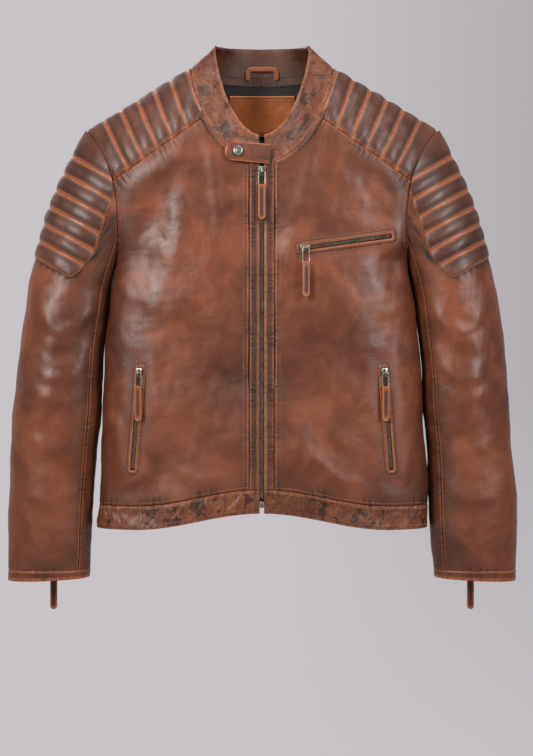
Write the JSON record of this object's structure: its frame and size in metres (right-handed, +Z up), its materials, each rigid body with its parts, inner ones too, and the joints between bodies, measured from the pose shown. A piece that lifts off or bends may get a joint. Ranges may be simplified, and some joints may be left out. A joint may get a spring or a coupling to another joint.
{
  "type": "leather riding jacket",
  "caption": "Hanging leather riding jacket with quilted shoulders and upper sleeves, stand collar with a snap tab, and zipped front, pockets and cuffs.",
  "frame": {"origin": "the seat of the hanger: middle plane of the jacket, level with the neck points of the shoulder seams", "axes": "+Z up, -Y out of the front, +X towards the wearer's left"},
  "size_m": [0.7354, 0.1641, 0.8289],
  "materials": {
    "body_leather": "satin",
    "quilted_leather": "satin",
    "band_leather": "satin",
    "trim_leather": "satin",
    "strap_leather": "satin",
    "label_leather": "matte",
    "black_lining": "matte",
    "pewter": "satin",
    "zip_teeth": "satin"
  },
  "bodies": {
    "shell": {"back_lining": "black_lining", "back_panel": "body_leather", "chest_pocket": "black_lining", "chest_zip_chain": "zip_teeth", "chest_zip_welt": "trim_leather", "collar_band": "band_leather", "front_lining_left": "black_lining", "front_lining_right": "black_lining", "front_panel_left": "body_leather", "front_panel_right": "body_leather", "hand_pocket_left": "black_lining", "hand_pocket_right": "black_lining", "hand_zip_left_chain": "zip_teeth", "hand_zip_left_welt": "trim_leather", "hand_zip_right_chain": "zip_teeth", "hand_zip_right_welt": "trim_leather", "hang_loop": "strap_leather", "hem_band_back": "band_leather", "hem_band_left": "band_leather", "hem_band_right": "band_leather", "label_patch": "label_leather", "main_zip_box": "zip_teeth", "main_zip_chain_left": "zip_teeth", "main_zip_chain_right": "zip_teeth", "placket_left": "trim_leather", "placket_right": "trim_leather", "shoulder_yoke_left": "quilted_leather", "shoulder_yoke_right": "quilted_leather", "snap_stud": "pewter"},
    "main_zip_slider": {"main_zip_slider": "pewter"},
    "main_zip_pull": {"main_zip_pull": "pewter", "main_zip_strap": "strap_leather"},
    "chest_zip_slider": {"chest_zip_slider": "pewter"},
    "chest_zip_pull": {"chest_zip_pull": "pewter", "chest_zip_strap": "strap_leather"},
    "hand_zip_right_slider": {"hand_zip_right_slider": "pewter"},
    "hand_zip_right_pull": {"hand_zip_right_pull": "pewter", "hand_zip_right_strap": "strap_leather"},
    "hand_zip_left_slider": {"hand_zip_left_slider": "pewter"},
    "hand_zip_left_pull": {"hand_zip_left_pull": "pewter", "hand_zip_left_strap": "strap_leather"},
    "cuff_zip_right_slider": {"cuff_zip_right_slider": "pewter"},
    "cuff_zip_right_pull": {"cuff_zip_right_pull": "pewter", "cuff_zip_right_strap": "strap_leather"},
    "cuff_zip_left_slider": {"cuff_zip_left_slider": "pewter"},
    "cuff_zip_left_pull": {"cuff_zip_left_pull": "pewter", "cuff_zip_left_strap": "strap_leather"},
    "collar_tab": {"collar_tab": "band_leather", "snap_cap": "pewter"},
    "sleeve_right": {"top_sleeve_right": "body_leather", "under_sleeve_right": "body_leather", "cuff_band_right": "trim_leather", "sleeve_patch_right": "quilted_leather", "cuff_zip_right_chain": "zip_teeth"},
    "sleeve_left": {"top_sleeve_left": "body_leather", "under_sleeve_left": "body_leather", "cuff_band_left": "trim_leather", "sleeve_patch_left": "quilted_leather", "cuff_zip_left_chain": "zip_teeth"}
  },
  "joints": [
    {"name": "main_zip_slide", "type": "slide", "parent": "shell", "child": "main_zip_slider", "axis": [0, 0, -1], "range_m": [0, 0.455]},
    {"name": "main_zip_pull_swing", "type": "hinge", "parent": "main_zip_slider", "child": "main_zip_pull", "pos_m": [0, -0.0824, -0.159], "axis": [-1, 0, 0], "range_deg": [0, 150]},
    {"name": "chest_zip_slide", "type": "slide", "parent": "shell", "child": "chest_zip_slider", "axis": [0.9825, 0.1151, 0.1465], "range_m": [0, 0.116]},
    {"name": "chest_zip_pull_swing", "type": "hinge", "parent": "chest_zip_slider", "child": "chest_zip_pull", "pos_m": [0.06151, -0.08613, -0.26701], "axis": [-0.9843, -0.1767, 0], "range_deg": [0, 150]},
    {"name": "hand_zip_right_slide", "type": "slide", "parent": "shell", "child": "hand_zip_right_slider", "axis": [-0.0779, 0.0103, -0.9969], "range_m": [0, 0.13]},
    {"name": "hand_zip_right_pull_swing", "type": "hinge", "parent": "hand_zip_right_slider", "child": "hand_zip_right_pull", "pos_m": [-0.1737, -0.07326, -0.4409], "axis": [-0.9682, 0.2501, 0], "range_deg": [0, 150]},
    {"name": "hand_zip_left_slide", "type": "slide", "parent": "shell", "child": "hand_zip_left_slider", "axis": [0.0779, 0.0103, -0.9969], "range_m": [0, 0.13]},
    {"name": "hand_zip_left_pull_swing", "type": "hinge", "parent": "hand_zip_left_slider", "child": "hand_zip_left_pull", "pos_m": [0.1737, -0.07326, -0.4409], "axis": [-0.9682, -0.2501, 0], "range_deg": [0, 150]},
    {"name": "cuff_zip_right_slide", "type": "slide", "parent": "sleeve_right", "child": "cuff_zip_right_slider", "axis": [0.038, 0.0655, 0.9971], "range_m": [0, 0.124]},
    {"name": "cuff_zip_right_pull_swing", "type": "hinge", "parent": "cuff_zip_right_slider", "child": "cuff_zip_right_pull", "pos_m": [-0.30827, 0.04505, -0.7225], "axis": [1, 0, 0], "range_deg": [0, 150]},
    {"name": "cuff_zip_left_slide", "type": "slide", "parent": "sleeve_left", "child": "cuff_zip_left_slider", "axis": [-0.038, 0.0655, 0.9971], "range_m": [0, 0.124]},
    {"name": "cuff_zip_left_pull_swing", "type": "hinge", "parent": "cuff_zip_left_slider", "child": "cuff_zip_left_pull", "pos_m": [0.30827, 0.04505, -0.7225], "axis": [1, 0, 0], "range_deg": [0, 150]},
    {"name": "collar_tab_turn", "type": "hinge", "parent": "shell", "child": "collar_tab", "pos_m": [0.012, -0.078, -0.135], "axis": [0, 0, 1], "range_deg": [0, 120]},
    {"name": "sleeve_right_swing", "type": "hinge", "parent": "shell", "child": "sleeve_right", "pos_m": [-0.254, 0, -0.091], "axis": [0, 1, 0], "range_deg": [0, 45]},
    {"name": "sleeve_left_swing", "type": "hinge", "parent": "shell", "child": "sleeve_left", "pos_m": [0.254, 0, -0.091], "axis": [0, -1, 0], "range_deg": [0, 45]}
  ]
}
